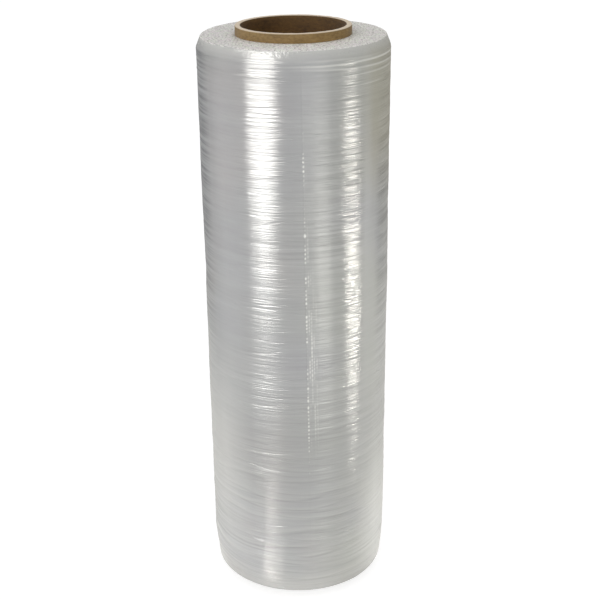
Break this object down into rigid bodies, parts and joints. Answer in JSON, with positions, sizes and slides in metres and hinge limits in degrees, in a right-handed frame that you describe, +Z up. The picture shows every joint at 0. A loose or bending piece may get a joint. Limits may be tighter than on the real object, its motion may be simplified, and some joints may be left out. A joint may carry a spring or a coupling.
{
  "type": "stretch wrap roll",
  "caption": "Roll of clear stretch film wound on a paperboard core that stands a little proud of the film at both ends.",
  "frame": {"origin": "middle of the core's lower end face, on the surface that the roll stands on", "axes": "+Z up the bore, -Y the side with the film's loose end, which faces the viewer"},
  "size_m": [0.141, 0.141, 0.4452],
  "materials": {
    "core_paperboard": "matt brown spiral-wound paperboard, paler on its cut ends, darker in the bore",
    "stretch_film": "clear glossy film in many turns, milky grey in bulk, with fine ridges round the wall"
  },
  "bodies": {
    "root": {"core": "core_paperboard", "film_roll": "stretch_film"}
  },
  "joints": []
}
